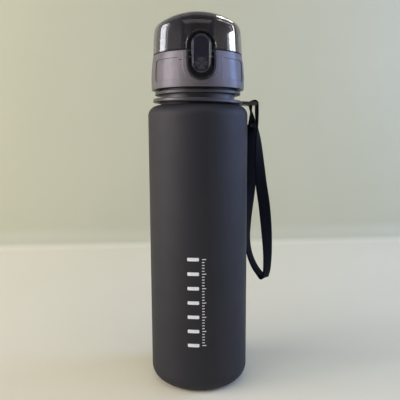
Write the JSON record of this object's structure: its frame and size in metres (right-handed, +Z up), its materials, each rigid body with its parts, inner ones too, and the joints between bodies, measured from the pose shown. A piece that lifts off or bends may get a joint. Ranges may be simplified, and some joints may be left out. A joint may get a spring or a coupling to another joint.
{
  "type": "sports bottle",
  "caption": "Rigid sports bottle with a screw-on flip-top lid, a press-button latch, a covered drinking spout, and a swivelling carry ring with a webbing wrist strap.",
  "frame": {"origin": "centre of the flat base, on the bottle's axis", "axes": "+Z up along the bottle's axis, the latch button faces -Y, the cap's hinge is at +Y, and the strap hangs at +X"},
  "size_m": [0.0852, 0.0667, 0.2461],
  "materials": {
    "body": "frosted, soft-touch black",
    "ring": "satin dark grey",
    "webbing": "woven nylon webbing, black",
    "thread": "sewing thread, black",
    "silicone": "translucent silicone",
    "lid_gloss": "polished dark plastic",
    "lid_inner": "moulded black",
    "steel": "bright wire",
    "button": "polished black",
    "smoke": "smoke-tinted, see-through, polished",
    "liner": "moulded black"
  },
  "bodies": {
    "bottle": {"bottle_body": "body"},
    "ring": {"carry_ring": "ring"},
    "strap": {"wrist_strap": "webbing", "strap_stitching": "thread"},
    "gasket": {"lid_gasket": "silicone"},
    "lid": {"lid_shell": "lid_gloss", "screw_collar": "lid_inner", "spout": "lid_inner", "hinge_pin": "steel", "hinge_spring": "steel", "button_pin": "steel", "button_spring": "steel"},
    "button": {"latch_button": "button"},
    "cap": {"flip_cap": "smoke", "cap_liner": "liner", "spout_seal": "silicone"}
  },
  "joints": [
    {"name": "ring_swivel", "type": "hinge", "parent": "bottle", "child": "ring", "pos_m": [0, 0, 0.1892], "axis": [0, 0, 1], "continuous": true},
    {"name": "strap_swing", "type": "hinge", "parent": "ring", "child": "strap", "pos_m": [0.0376, 0, 0.18808], "axis": [0, -1, 0], "range_deg": [0, 100]},
    {"name": "lid_lift", "type": "slide", "parent": "bottle", "child": "gasket", "axis": [0, 0, 1], "range_m": [0, 0.0065]},
    {"name": "lid_turn", "type": "hinge", "parent": "gasket", "child": "lid", "pos_m": [0, 0, 0.2], "axis": [0, 0, 1], "range_deg": [0, 540]},
    {"name": "latch_press", "type": "hinge", "parent": "lid", "child": "button", "pos_m": [0, -0.0284, 0.214], "axis": [1, 0, 0], "range_deg": [0, 6], "stiffness_Nm_per_rad": 0.15, "springref_deg": -8.59},
    {"name": "cap_hinge", "type": "hinge", "parent": "lid", "child": "cap", "pos_m": [0, 0.0313, 0.2184], "axis": [-1, 0, 0], "range_deg": [0, 125]}
  ],
  "couplings": [
    {"joint": "lid_lift", "follows": "lid_turn", "m_per_rad": 0.00063662}
  ]
}
